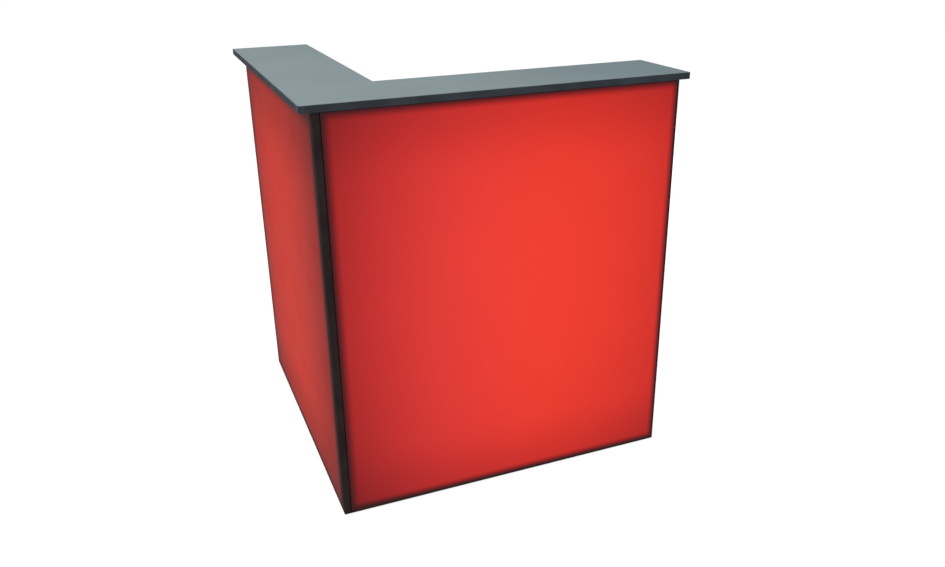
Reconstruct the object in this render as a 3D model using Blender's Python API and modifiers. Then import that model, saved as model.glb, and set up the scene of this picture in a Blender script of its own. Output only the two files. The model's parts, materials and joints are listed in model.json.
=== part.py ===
# Illuminated corner bar counter: two glowing wings in an L, under one worktop.
# Metres, +Z up. The origin is on the floor, under the middle of the worktop's square.
# The front wing faces -Y and the side wing faces -X, so their outer corner is at -X, -Y.
# In each wing, "along" runs from the outer corner to the wing's end, "inward" from the
# lit face to the staff side, and "height" up from the floor.

import math

import bmesh
import bpy
from mathutils import Matrix, Vector
from mathutils.geometry import interpolate_bezier

# Whole counter
FRONT_LENGTH = 1.000
SIDE_LENGTH = 1.000
TOTAL_HEIGHT = 1.150
BODY_DEPTH = 0.195
GAP = 0.0003                # between pieces that touch
ARRIS = 0.0005              # broken edge of a cut board

# Worktop, which lies a little off the middle of the body
WORKTOP_THICKNESS = 0.018
WORKTOP_WIDTH = 0.245       # each arm of its L
FRONT_OVERHANG = 0.022
SIDE_OVERHANG = 0.033
RIGHT_END_OVERHANG = 0.017
FAR_END_OVERHANG = 0.028
EDGING_THICKNESS = 0.002
EDGING_ARRIS = 0.0008

# Boards, posts and lit panels
BOARD = 0.018
REAR_BOARD = 0.016
PANEL_THICKNESS = 0.004
LIP = 0.005                 # frame left showing round a lit panel
POST_FACE = 0.018           # what shows of the outer post on each side
POST_GROOVE = 0.003         # dark line between the post and a lit panel
POST_SIZE = 0.038
POST_ARRIS = 0.0012
INNER_POST_SIZE = 0.036
STILE_WIDTH = 0.045
GLIDE_RADIUS = 0.012
GLIDE_HEIGHT = 0.003
GLIDE_INSET = 0.045         # glide centre to the edges of its board

# Service door, in the staff side of the front wing
DOOR_WIDTH = 0.380
DOOR_CLEARANCE = 0.002
STILE_OVERLAP = 0.020       # how far the closed door lies on the stile
HINGE_HEIGHTS = (0.220, 0.910)
HINGE_LENGTH = 0.060
LEAF_THICKNESS = 0.0016
FRAME_LEAF_WIDTH = 0.014
DOOR_LEAF_WIDTH = 0.030
KNUCKLE_RADIUS = 0.0035
PIN_RADIUS = 0.0018
PIN_CLEARANCE = 0.0002
KNUCKLES = 3

# Quarter-turn latch
LATCH_HEIGHT = 0.600
LATCH_FROM_EDGE = 0.040     # latch centre to the door's free edge
BARREL_RADIUS = 0.009
LATCH_FLANGE_RADIUS = 0.0125
LATCH_FLANGE = 0.002
LATCH_NUT = 0.004
SPINDLE_RADIUS = 0.004
SPINDLE_CLEARANCE = 0.0003
KNOB_RADIUS = 0.0105
KNOB_BASE = 0.005
KNOB_GRIP = (0.007, 0.013, 0.026)   # thickness, how far it stands out, length
CAM_WIDTH = 0.014
CAM_REACH = 0.035
CAM_THICKNESS = 0.003

# Mains inlet with its rocker switch
INLET_FROM_CORNER = 0.075   # inlet centre to the inner corner of the L
INLET_HEIGHT = 0.120
INLET_FLANGE = (0.031, 0.0025, 0.050)
INLET_HOUSING = (0.027, 0.030, 0.046)
SOCKET = (0.024, 0.0165, 0.0165)
SOCKET_DROP = 0.0105        # socket centre below the inlet's centre
BLADE = (0.002, 0.014, 0.004)
BLADE_SPACING = 0.014
EARTH_OFFSET = 0.004
ROCKER_WELL = (0.0132, 0.0085, 0.0195)
ROCKER_RISE = 0.0110        # rocker centre above the inlet's centre
ROCKER_SIDE_CLEARANCE = 0.0004
ROCKER_LENGTH = 0.0170
ROCKER_DEPTH = 0.0030       # side of the rocker below its pivot line
ROCKER_BELLY = 0.0050
ROCKER_TILT = math.radians(12)

# Lighting
FRONT_CHANNEL_START = 0.250
FRONT_CHANNEL_SPACING = 0.280
FRONT_CHANNEL_COUNT = 3
SIDE_CHANNEL_START = 0.400
SIDE_CHANNEL_SPACING = 0.350
SIDE_CHANNEL_COUNT = 2
CHANNEL_INWARD = 0.126      # front of a channel, from the lit face
CHANNEL_WIDTH = 0.017
CHANNEL_DEPTH = 0.010
CHANNEL_WALL = 0.0015
CHANNEL_POCKET = 0.003      # how deep its ends sit in the boards
STRIP_WIDTH = 0.010
STRIP_THICKNESS = 0.0012

# Driver, controller and their leads
DRIVER_FROM_INLET = 0.130
DRIVER_LOW = 0.100
DRIVER_SIZE = (0.056, 0.036, 0.180)
DRIVER_PLATE = 0.002
DRIVER_EAR = 0.012
CONTROLLER_FROM_DRIVER = 0.100
CONTROLLER_LOW = 0.150
CONTROLLER_SIZE = (0.048, 0.024, 0.086)
CONTROLLER_ARRIS = 0.003
MAINS_LEAD_RADIUS = 0.0035
SMALL_LEAD_RADIUS = 0.0025
LEAD_STAND_OFF = 0.006      # lead centre in front of the channels
ROUND_SIDES = 32

# Heights, depths and places that follow
BODY_LOW = GLIDE_HEIGHT + GAP
WORKTOP_LOW = TOTAL_HEIGHT - WORKTOP_THICKNESS
BODY_HIGH = WORKTOP_LOW - GAP
BASE_TOP = BODY_LOW + BOARD
CEILING = BODY_HIGH - BOARD
REAR_INSIDE = BODY_DEPTH - REAR_BOARD
BOARD_REAR = REAR_INSIDE - GAP
INLET_ALONG = BODY_DEPTH + INLET_FROM_CORNER
DRIVER_ALONG = INLET_ALONG + DRIVER_FROM_INLET
CONTROLLER_ALONG = DRIVER_ALONG + CONTROLLER_FROM_DRIVER
WORKTOP_REACH_X = (SIDE_OVERHANG + FRONT_LENGTH + RIGHT_END_OVERHANG) / 2
WORKTOP_REACH_Y = (FRONT_OVERHANG + SIDE_LENGTH + FAR_END_OVERHANG) / 2
CORNER = Vector((SIDE_OVERHANG - WORKTOP_REACH_X, FRONT_OVERHANG - WORKTOP_REACH_Y, 0))


def clear_scene():
    for old in list(bpy.data.objects):
        bpy.data.objects.remove(old, do_unlink=True)


def new_collection(name):
    made = bpy.data.collections.new(name)
    bpy.context.scene.collection.children.link(made)
    return made


clear_scene()
PARTS = new_collection("bar_counter")
CUTTERS = new_collection("cutters")
CUTTERS.hide_render = True


def material(name, colour, roughness, metallic=0.0, glow=0.0):
    made = bpy.data.materials.new(name)
    made.use_nodes = True
    made.diffuse_color = (*colour, 1)
    shader = made.node_tree.nodes["Principled BSDF"]
    shader.inputs["Base Color"].default_value = (*colour, 1)
    shader.inputs["Roughness"].default_value = roughness
    shader.inputs["Metallic"].default_value = metallic
    shader.inputs["Emission Color"].default_value = (*colour, 1)
    shader.inputs["Emission Strength"].default_value = glow
    return made


LAMINATE = material("grey_laminate", (0.25, 0.31, 0.33), 0.45)
EDGE = material("dark_edging", (0.032, 0.040, 0.048), 0.40)
DARK_BOARD = material("black_board", (0.020, 0.019, 0.019), 0.45)
RED_ACRYLIC = material("red_opal_acrylic", (0.80, 0.050, 0.030), 0.12, glow=0.6)
ALUMINIUM = material("aluminium", (0.75, 0.76, 0.77), 0.35, metallic=1.0)
STEEL = material("zinc_plated_steel", (0.60, 0.61, 0.62), 0.30, metallic=1.0)
BLADE_METAL = material("nickel_plate", (0.70, 0.68, 0.62), 0.25, metallic=1.0)
BLACK_PLASTIC = material("black_plastic", (0.018, 0.018, 0.019), 0.35)
RED_PLASTIC = material("red_rocker_plastic", (0.55, 0.02, 0.015), 0.25)
WHITE_PLASTIC = material("white_plastic", (0.80, 0.80, 0.78), 0.40)
STRIP_WHITE = material("strip_white", (0.85, 0.84, 0.80), 0.45)
LEAD_COVER = material("lead_cover", (0.022, 0.022, 0.024), 0.50)


def add_object(name, data, finish, collection=PARTS):
    made = bpy.data.objects.new(name, data)
    collection.objects.link(made)
    if finish is not None:
        data.materials.append(finish)
    if collection is CUTTERS:
        made.hide_render = True
        made.display_type = "WIRE"
    return made


def mesh_from(shape, name):
    mesh = bpy.data.meshes.new(name)
    shape.to_mesh(mesh)
    shape.free()
    return mesh


def bevel(target, width, segments=1):
    rounding = target.modifiers.new("arris", "BEVEL")
    rounding.width = width
    rounding.segments = segments
    rounding.limit_method = "ANGLE"
    rounding.angle_limit = math.radians(40)
    return target


def join_shape(target, other, operation):
    change = target.modifiers.new(other.name, "BOOLEAN")
    change.operation = operation
    change.solver = "EXACT"
    change.object = other


def cut(target, *cutters):
    for cutter in cutters:
        join_shape(target, cutter, "DIFFERENCE")


def fuse(target, *others):
    for other in others:
        join_shape(target, other, "UNION")


def block(name, low, high, finish=None, arris=0.0, collection=PARTS):
    low = Vector(low)
    high = Vector(high)
    shape = bmesh.new()
    bmesh.ops.create_cube(shape, size=1, matrix=Matrix.Diagonal((*(high - low), 1)))
    made = add_object(name, mesh_from(shape, name), finish, collection)
    made.location = (low + high) / 2
    if arris:
        bevel(made, arris)
    return made


# A round bar between two points, with its origin at the first.
def bar(name, start, end, radius, finish=None, sides=ROUND_SIDES, collection=PARTS):
    run = Vector(end) - Vector(start)
    turn = run.to_track_quat("Z", "Y").to_matrix().to_4x4()
    shape = bmesh.new()
    bmesh.ops.create_cone(shape, cap_ends=True, segments=sides, radius1=radius, radius2=radius,
                          depth=run.length, matrix=turn @ Matrix.Translation((0, 0, run.length / 2)))
    mesh = mesh_from(shape, name)
    mesh.shade_smooth()
    mesh.set_sharp_from_angle(angle=math.radians(40))
    made = add_object(name, mesh, finish, collection)
    made.location = start
    return made


# A flat outline in the XY plane, extruded up, as a mesh.
def plate(name, outline, low, high, finish, arris=0.0):
    curve = bpy.data.curves.new(name, "CURVE")
    curve.dimensions = "2D"
    curve.fill_mode = "BOTH"
    curve.extrude = (high - low) / 2
    spline = curve.splines.new("POLY")
    spline.points.add(len(outline) - 1)
    for point, (x, y) in zip(spline.points, outline):
        point.co = (x, y, 0, 1)
    spline.use_cyclic_u = True
    return mesh_of_curve(name, curve, (0, 0, (low + high) / 2), finish, arris)


def mesh_of_curve(name, curve, location, finish, arris=0.0):
    drawn = bpy.data.objects.new(name + "_curve", curve)
    bpy.context.scene.collection.objects.link(drawn)
    graph = bpy.context.evaluated_depsgraph_get()
    mesh = bpy.data.meshes.new_from_object(drawn.evaluated_get(graph))
    bpy.data.objects.remove(drawn, do_unlink=True)
    shape = bmesh.new()
    shape.from_mesh(mesh)
    bmesh.ops.remove_doubles(shape, verts=shape.verts, dist=0.00001)
    shape.to_mesh(mesh)
    shape.free()
    made = add_object(name, mesh, None)
    mesh.materials.clear()
    mesh.materials.append(finish)
    made.location = location
    if arris:
        bevel(made, arris)
    return made


# The way a smooth curve runs at a point, from the points before and after it. The nearer one counts more.
def way_at(before, point, after):
    arriving = point - before
    leaving = after - point
    share = arriving.length / (arriving.length + leaving.length)
    return arriving.normalized().lerp(leaving.normalized(), share)


# Points about every "step" along a smooth curve through the route's own points.
def smooth_route(route, step):
    ends = [route[0] * 2 - route[1], *route, route[-1] * 2 - route[-2]]
    points = []
    for before, start, end, after in zip(ends, ends[1:], ends[2:], ends[3:]):
        length = (end - start).length
        count = max(1, round(length / step))
        first_handle = start + way_at(before, start, end) * length / 3
        last_handle = end - way_at(start, end, after) * length / 3
        points += interpolate_bezier(start, first_handle, last_handle, end, count + 1)[:-1]
    return points + [route[-1]]


def lead(name, route, radius):
    curve = bpy.data.curves.new(name, "CURVE")
    curve.dimensions = "3D"
    curve.bevel_depth = radius
    curve.bevel_resolution = 2
    curve.use_fill_caps = True
    points = smooth_route([Vector(point) for point in route], radius * 5)
    spline = curve.splines.new("POLY")
    spline.points.add(len(points) - 1)
    for point, place in zip(spline.points, points):
        point.co = (*place, 1)
    return add_object(name, curve, LEAD_COVER)


# An empty on a joint's axis. What it carries keeps its place and gets that origin.
def joint_empty(name, place, pieces):
    pivot = bpy.data.objects.new(name, None)
    pivot.empty_display_size = 0.03
    PARTS.objects.link(pivot)
    pivot.location = place
    for piece in pieces:
        piece.parent = pivot
        piece.location = piece.location - Vector(place)
    return pivot


# One arm of the L. Its sizes are spans: (from, to) along, inward and in height.
class Wing:
    def __init__(self, name, length, along, inward):
        self.name = name
        self.length = length
        self.along = Vector(along)
        self.inward = Vector(inward)
        self.gable_inside = length - BOARD

    def at(self, along, inward, height):
        return CORNER + self.along * along + self.inward * inward + Vector((0, 0, height))

    def block(self, name, along, inward, height, finish=None, **settings):
        low = self.at(along[0], inward[0], height[0])
        high = self.at(along[1], inward[1], height[1])
        return block(name, low, high, finish, **settings)


FRONT = Wing("front", FRONT_LENGTH, (1, 0, 0), (0, 1, 0))
SIDE = Wing("side", SIDE_LENGTH, (0, 1, 0), (1, 0, 0))


def span(middle, width):
    return (middle - width / 2, middle + width / 2)


# Corners of the worktop, or of the worktop drawn in by a margin, round from the outer corner.
def worktop_corners(margin=0.0):
    low_x, high_x = (margin - WORKTOP_REACH_X, WORKTOP_REACH_X - margin)
    low_y, high_y = (margin - WORKTOP_REACH_Y, WORKTOP_REACH_Y - margin)
    width = WORKTOP_WIDTH - 2 * margin
    return [Vector(corner) for corner in (
        (low_x, low_y), (high_x, low_y), (high_x, low_y + width),
        (low_x + width, low_y + width), (low_x + width, high_y), (low_x, high_y))]


def make_worktop():
    board = [tuple(corner) for corner in worktop_corners(EDGING_THICKNESS + GAP)]
    plate("worktop", board, WORKTOP_LOW, TOTAL_HEIGHT, LAMINATE)
    names = ("front", "right_end", "inner_front", "inner_side", "far_end", "side")
    corners = worktop_corners()
    inner_corner = 3
    for index, name in enumerate(names):
        start = corners[index]
        end = corners[(index + 1) % len(corners)]
        run = (end - start).normalized()
        to_board = Vector((-run.y, run.x))
        # A strip butts on the one before it and runs past the one after it.
        starts_inside = index == inner_corner
        ends_inside = index + 1 == inner_corner
        first = start + run * (GAP if starts_inside else EDGING_THICKNESS + GAP)
        last = end + run * (EDGING_THICKNESS if ends_inside else 0)
        opposite = last + to_board * EDGING_THICKNESS
        low = (min(first.x, opposite.x), min(first.y, opposite.y), WORKTOP_LOW)
        high = (max(first.x, opposite.x), max(first.y, opposite.y), TOTAL_HEIGHT)
        block("worktop_edging_" + name, low, high, EDGE, arris=EDGING_ARRIS)


# The room that a lit panel needs in the frame round it.
def panel_space(wing):
    return wing.block(wing.name + "_panel_space", (POST_FACE, wing.length - LIP),
                      (-BOARD, PANEL_THICKNESS + GAP), (BODY_LOW + LIP, BODY_HIGH - LIP),
                      collection=CUTTERS)


def make_posts(panel_spaces):
    full = (BODY_LOW, BODY_HIGH)
    outer = FRONT.block("corner_post", (0, POST_SIZE), (0, POST_SIZE), full, DARK_BOARD)
    bevel(outer, POST_ARRIS, segments=2)
    cut(outer, *panel_spaces)
    inner = (BODY_DEPTH - INNER_POST_SIZE, BODY_DEPTH)
    FRONT.block("inner_post", inner, inner, full, DARK_BOARD, arris=ARRIS)
    past = (BODY_LOW - BOARD, BODY_HIGH + BOARD)
    outer_room = (-BOARD, POST_SIZE + GAP)
    inner_room = (inner[0] - GAP, inner[1] + GAP)
    return [FRONT.block("corner_post_room", outer_room, outer_room, past, collection=CUTTERS),
            FRONT.block("inner_post_room", inner_room, inner_room, past, collection=CUTTERS)]


# Centres of a wing's channels, along the wing.
def channel_places(start, spacing, count):
    return [start + number * spacing for number in range(count)]


FRONT_CHANNELS = channel_places(FRONT_CHANNEL_START, FRONT_CHANNEL_SPACING, FRONT_CHANNEL_COUNT)
SIDE_CHANNELS = channel_places(SIDE_CHANNEL_START, SIDE_CHANNEL_SPACING, SIDE_CHANNEL_COUNT)


def channel_inward():
    return (CHANNEL_INWARD, CHANNEL_INWARD + CHANNEL_DEPTH)


def make_channels(wing, places):
    pockets = []
    ends = (BASE_TOP - CHANNEL_POCKET + GAP, CEILING + CHANNEL_POCKET - GAP)
    for number, place in enumerate(places, 1):
        label = f"{wing.name}_{number}"
        channel = wing.block("led_channel_" + label, span(place, CHANNEL_WIDTH), channel_inward(),
                             ends, ALUMINIUM)
        web = CHANNEL_INWARD + CHANNEL_DEPTH - CHANNEL_WALL
        trough = wing.block("trough_" + label, span(place, CHANNEL_WIDTH - 2 * CHANNEL_WALL),
                            (CHANNEL_INWARD - BOARD, web), (0, TOTAL_HEIGHT), collection=CUTTERS)
        cut(channel, trough)
        wing.block("led_strip_" + label, span(place, STRIP_WIDTH),
                   (web - GAP - STRIP_THICKNESS, web - GAP), (BASE_TOP + GAP, CEILING - GAP),
                   STRIP_WHITE)
        room = (CHANNEL_INWARD - GAP, CHANNEL_INWARD + CHANNEL_DEPTH + GAP)
        pockets.append(wing.block("pocket_" + label, span(place, CHANNEL_WIDTH + 2 * GAP), room,
                                  (BASE_TOP - CHANNEL_POCKET, CEILING + CHANNEL_POCKET),
                                  collection=CUTTERS))
    return pockets


def make_frame(wing, starts, cutters, pockets):
    along = (starts, wing.gable_inside - GAP)
    inward = (0, BOARD_REAR)
    floor = wing.block(wing.name + "_base_board", along, inward, (BODY_LOW, BASE_TOP),
                       DARK_BOARD, arris=ARRIS)
    ceiling = wing.block(wing.name + "_top_board", along, inward, (CEILING, BODY_HIGH),
                         DARK_BOARD, arris=ARRIS)
    gable = wing.block(wing.name + "_gable", (wing.gable_inside, wing.length), (0, BODY_DEPTH),
                       (BODY_LOW, BODY_HIGH), DARK_BOARD, arris=ARRIS)
    cut(floor, *cutters, *pockets)
    cut(ceiling, *cutters, *pockets)
    cut(gable, bpy.data.objects[wing.name + "_panel_space"])
    wing.block(wing.name + "_lit_panel", (POST_FACE + POST_GROOVE, wing.length - LIP - GAP),
               (0, PANEL_THICKNESS), (BODY_LOW + LIP + GAP, BODY_HIGH - LIP - GAP),
               RED_ACRYLIC, arris=ARRIS)


def make_glides():
    near = GLIDE_INSET
    far = BOARD_REAR - GLIDE_INSET
    by_post = POST_SIZE + 2 * GLIDE_RADIUS
    by_inner_post = BODY_DEPTH - INNER_POST_SIZE - 2 * GLIDE_RADIUS
    places = {"corner": FRONT.at(by_post, by_post, 0),
              "inner_corner": FRONT.at(by_inner_post, by_inner_post, 0)}
    for wing in (FRONT, SIDE):
        end = wing.gable_inside - GLIDE_INSET
        places[wing.name + "_end_outer"] = wing.at(end, near, 0)
        places[wing.name + "_end_inner"] = wing.at(end, far, 0)
    for name, place in places.items():
        glide = bar("glide_" + name, place, place + Vector((0, 0, GLIDE_HEIGHT)), GLIDE_RADIUS,
                    BLACK_PLASTIC, sides=24)
        bevel(glide, ARRIS)


# Door edges along the front wing: the free edge, then the hinge edge.
def door_span():
    hinge_edge = FRONT.gable_inside - DOOR_CLEARANCE
    return (hinge_edge - DOOR_WIDTH, hinge_edge)


def make_rear_walls():
    free_edge = door_span()[0]
    wall = (REAR_INSIDE, BODY_DEPTH)
    full = (BODY_LOW, BODY_HIGH)
    fixed = FRONT.block("front_rear_panel", (BODY_DEPTH + GAP, free_edge - DOOR_CLEARANCE), wall,
                        full, DARK_BOARD, arris=ARRIS)
    SIDE.block("side_rear_panel", (BODY_DEPTH + GAP, SIDE.gable_inside - GAP), wall, full,
               DARK_BOARD, arris=ARRIS)
    stile_end = free_edge + STILE_OVERLAP
    FRONT.block("stile", (stile_end - STILE_WIDTH, stile_end), (BOARD_REAR - BOARD, BOARD_REAR),
                (BASE_TOP + GAP, CEILING - GAP), DARK_BOARD, arris=ARRIS)
    return fixed


def hinge_axis():
    return (FRONT.gable_inside - DOOR_CLEARANCE / 2, BODY_DEPTH + GAP + KNUCKLE_RADIUS)


# The knuckles alternate up the axis: the frame leaf has the outer ones.
def knuckle_spans(middle, numbers):
    low = middle - HINGE_LENGTH / 2
    pitch = HINGE_LENGTH / KNUCKLES
    return [(low + number * pitch + GAP / 2, low + (number + 1) * pitch - GAP / 2)
            for number in numbers]


def make_leaf(name, along, middle, numbers, others):
    axis_along, axis_inward = hinge_axis()
    inward = (BODY_DEPTH + GAP, BODY_DEPTH + GAP + LEAF_THICKNESS)
    leaf = FRONT.block(name, along, inward, span(middle, HINGE_LENGTH), STEEL)
    clear = KNUCKLE_RADIUS + GAP
    for number, heights in zip(others, knuckle_spans(middle, others)):
        room = FRONT.block(f"{name}_room_{number}", span(axis_along, 2 * clear),
                           span(axis_inward, 2 * clear), (heights[0] - GAP, heights[1] + GAP),
                           collection=CUTTERS)
        cut(leaf, room)
    for number, heights in zip(numbers, knuckle_spans(middle, numbers)):
        fuse(leaf, bar(f"{name}_knuckle_{number}", FRONT.at(axis_along, axis_inward, heights[0]),
                       FRONT.at(axis_along, axis_inward, heights[1]), KNUCKLE_RADIUS, sides=24,
                       collection=CUTTERS))
    bore = bar(name + "_bore", FRONT.at(axis_along, axis_inward, middle - HINGE_LENGTH),
               FRONT.at(axis_along, axis_inward, middle + HINGE_LENGTH),
               PIN_RADIUS + PIN_CLEARANCE, sides=24, collection=CUTTERS)
    cut(leaf, bore)
    return leaf


def make_hinges():
    axis_along, axis_inward = hinge_axis()
    frame_numbers = range(0, KNUCKLES, 2)
    door_numbers = range(1, KNUCKLES, 2)
    door_leaves = []
    for place, middle in zip(("lower", "upper"), HINGE_HEIGHTS):
        make_leaf(f"{place}_hinge_frame_leaf", (axis_along, axis_along + FRAME_LEAF_WIDTH),
                  middle, frame_numbers, door_numbers)
        door_leaves.append(make_leaf(f"{place}_hinge_door_leaf",
                                     (axis_along - DOOR_LEAF_WIDTH, axis_along),
                                     middle, door_numbers, frame_numbers))
        half = HINGE_LENGTH / 2 + GAP
        bar(f"{place}_hinge_pin", FRONT.at(axis_along, axis_inward, middle - half),
            FRONT.at(axis_along, axis_inward, middle + half), PIN_RADIUS, STEEL, sides=24)
    return door_leaves


# A round piece on the latch's axis, between two distances from the door's outer face.
def latch_bar(name, low, high, radius, finish=None, sides=ROUND_SIDES, collection=CUTTERS):
    along = door_span()[0] + LATCH_FROM_EDGE
    return bar(name, FRONT.at(along, BODY_DEPTH + low, LATCH_HEIGHT),
               FRONT.at(along, BODY_DEPTH + high, LATCH_HEIGHT), radius, finish, sides, collection)


def make_door():
    door = FRONT.block("service_door", door_span(), (REAR_INSIDE, BODY_DEPTH),
                       (BODY_LOW + DOOR_CLEARANCE, BODY_HIGH - DOOR_CLEARANCE), DARK_BOARD,
                       arris=ARRIS)
    cut(door, latch_bar("latch_hole", -2 * REAR_BOARD, REAR_BOARD, BARREL_RADIUS + GAP))
    return door


def make_latch():
    along = door_span()[0] + LATCH_FROM_EDGE
    nut_face = -REAR_BOARD - GAP - LATCH_NUT
    housing = latch_bar("latch_housing", nut_face, LATCH_FLANGE, BARREL_RADIUS, STEEL,
                        collection=PARTS)
    fuse(housing, latch_bar("latch_flange", GAP, GAP + LATCH_FLANGE, LATCH_FLANGE_RADIUS),
         latch_bar("latch_nut", nut_face, nut_face + LATCH_NUT, LATCH_FLANGE_RADIUS, sides=6))
    bore = SPINDLE_RADIUS + SPINDLE_CLEARANCE
    cut(housing, latch_bar("latch_bore", -4 * REAR_BOARD, 4 * REAR_BOARD, bore))

    # The cam turns behind the stile, with the same gap to the stile as to the nut.
    cam_face = -REAR_BOARD - GAP - BOARD - GAP
    cam = FRONT.block("latch_cam", span(along, CAM_WIDTH),
                      (BODY_DEPTH + cam_face - CAM_THICKNESS, BODY_DEPTH + cam_face),
                      (LATCH_HEIGHT - CAM_REACH, LATCH_HEIGHT + CAM_WIDTH / 2), STEEL, arris=ARRIS)
    cut(cam, latch_bar("cam_bore", -4 * REAR_BOARD, 0, bore))

    knob_face = GAP + LATCH_FLANGE + GAP
    thickness, stand_out, length = KNOB_GRIP
    spindle_end = cam_face - CAM_THICKNESS - GAP
    knob = latch_bar("latch_knob", spindle_end, knob_face + KNOB_BASE / 2, SPINDLE_RADIUS, STEEL,
                     collection=PARTS)
    disc = latch_bar("knob_disc", knob_face, knob_face + KNOB_BASE, KNOB_RADIUS)
    grip = FRONT.block("knob_grip", span(along, thickness),
                       (BODY_DEPTH + knob_face + KNOB_BASE / 2, BODY_DEPTH + knob_face + stand_out),
                       span(LATCH_HEIGHT, length), collection=CUTTERS, arris=2 * ARRIS)
    # A collar on the spindle, behind the nut, is what the cam is clamped against.
    collar = latch_bar("knob_collar", cam_face + GAP, nut_face - GAP, 1.6 * SPINDLE_RADIUS)
    fuse(knob, disc, grip, collar)
    return housing, knob, cam, FRONT.at(along, BODY_DEPTH, LATCH_HEIGHT)


# A block of the inlet: width and height about a centre, depths from the rear wall's face.
def inlet_block(name, width, depths, centre_height, height, finish=None, **settings):
    return FRONT.block(name, span(INLET_ALONG, width),
                       (BODY_DEPTH + depths[0], BODY_DEPTH + depths[1]),
                       span(INLET_HEIGHT + centre_height, height), finish, **settings)


def make_inlet(rear_panel):
    face = GAP + INLET_FLANGE[1]
    inlet = inlet_block("power_inlet", INLET_FLANGE[0], (GAP, face), 0, INLET_FLANGE[2],
                        BLACK_PLASTIC, arris=ARRIS)
    back = face - INLET_HOUSING[1]
    fuse(inlet, inlet_block("inlet_housing", INLET_HOUSING[0], (back, face / 2), 0,
                            INLET_HOUSING[2], collection=CUTTERS))
    socket_back = face - SOCKET[1]
    well_back = face - ROCKER_WELL[1]
    cut(inlet,
        inlet_block("socket", SOCKET[0], (socket_back, BOARD), -SOCKET_DROP, SOCKET[2],
                    collection=CUTTERS),
        inlet_block("rocker_well", ROCKER_WELL[0], (well_back, BOARD), ROCKER_RISE,
                    ROCKER_WELL[2], collection=CUTTERS))
    cut(rear_panel, inlet_block("inlet_hole", INLET_HOUSING[0] + 2 * GAP, (-BOARD, BOARD), 0,
                                INLET_HOUSING[2] + 2 * GAP, collection=CUTTERS))

    blades = {"line": (-BLADE_SPACING / 2, -EARTH_OFFSET / 2),
              "neutral": (BLADE_SPACING / 2, -EARTH_OFFSET / 2),
              "earth": (0, EARTH_OFFSET / 2)}
    for name, (across, up) in blades.items():
        middle = INLET_HEIGHT - SOCKET_DROP + up
        tip = (BODY_DEPTH + socket_back + GAP, BODY_DEPTH + socket_back + GAP + BLADE[1])
        FRONT.block("inlet_blade_" + name, span(INLET_ALONG + across, BLADE[0]), tip,
                    span(middle, BLADE[2]), BLADE_METAL)
    return BODY_DEPTH + back


# The rocker is drawn in the plane it tilts in, about its pivot, then stood up and tilted.
def make_rocker():
    half = ROCKER_LENGTH / 2
    crest = half * math.tan(ROCKER_TILT)
    outline = [(-half, -ROCKER_DEPTH), (0, -ROCKER_BELLY), (half, -ROCKER_DEPTH),
               (half, crest), (0, 0), (-half, crest)]
    width = ROCKER_WELL[0] - 2 * ROCKER_SIDE_CLEARANCE
    rocker = plate("switch_rocker", outline, -width / 2, width / 2, RED_PLASTIC, arris=0.0003)
    stood_up = Matrix(((0, 0, 1), (0, 1, 0), (-1, 0, 0)))
    rocker.data.transform(stood_up.to_4x4())
    pivot = FRONT.at(INLET_ALONG, BODY_DEPTH + INLET_FLANGE[1], INLET_HEIGHT + ROCKER_RISE)
    rocker.location = pivot
    empty = joint_empty("switch_pivot", pivot, [rocker])
    empty.rotation_euler = (ROCKER_TILT, 0, 0)
    return pivot


def make_electrics():
    width, depth, height = DRIVER_SIZE
    rear = REAR_INSIDE - GAP
    driver = FRONT.block("led_driver", span(DRIVER_ALONG, width), (rear - depth, rear),
                         (DRIVER_LOW, DRIVER_LOW + height), ALUMINIUM, arris=2 * ARRIS)
    fuse(driver, FRONT.block("driver_plate", span(DRIVER_ALONG, 0.8 * width),
                             (rear - DRIVER_PLATE, rear),
                             (DRIVER_LOW - DRIVER_EAR, DRIVER_LOW + height + DRIVER_EAR),
                             collection=CUTTERS))
    width, depth, height = CONTROLLER_SIZE
    FRONT.block("colour_controller", span(CONTROLLER_ALONG, width), (rear - depth, rear),
                (CONTROLLER_LOW, CONTROLLER_LOW + height), WHITE_PLASTIC, arris=CONTROLLER_ARRIS)


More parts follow.
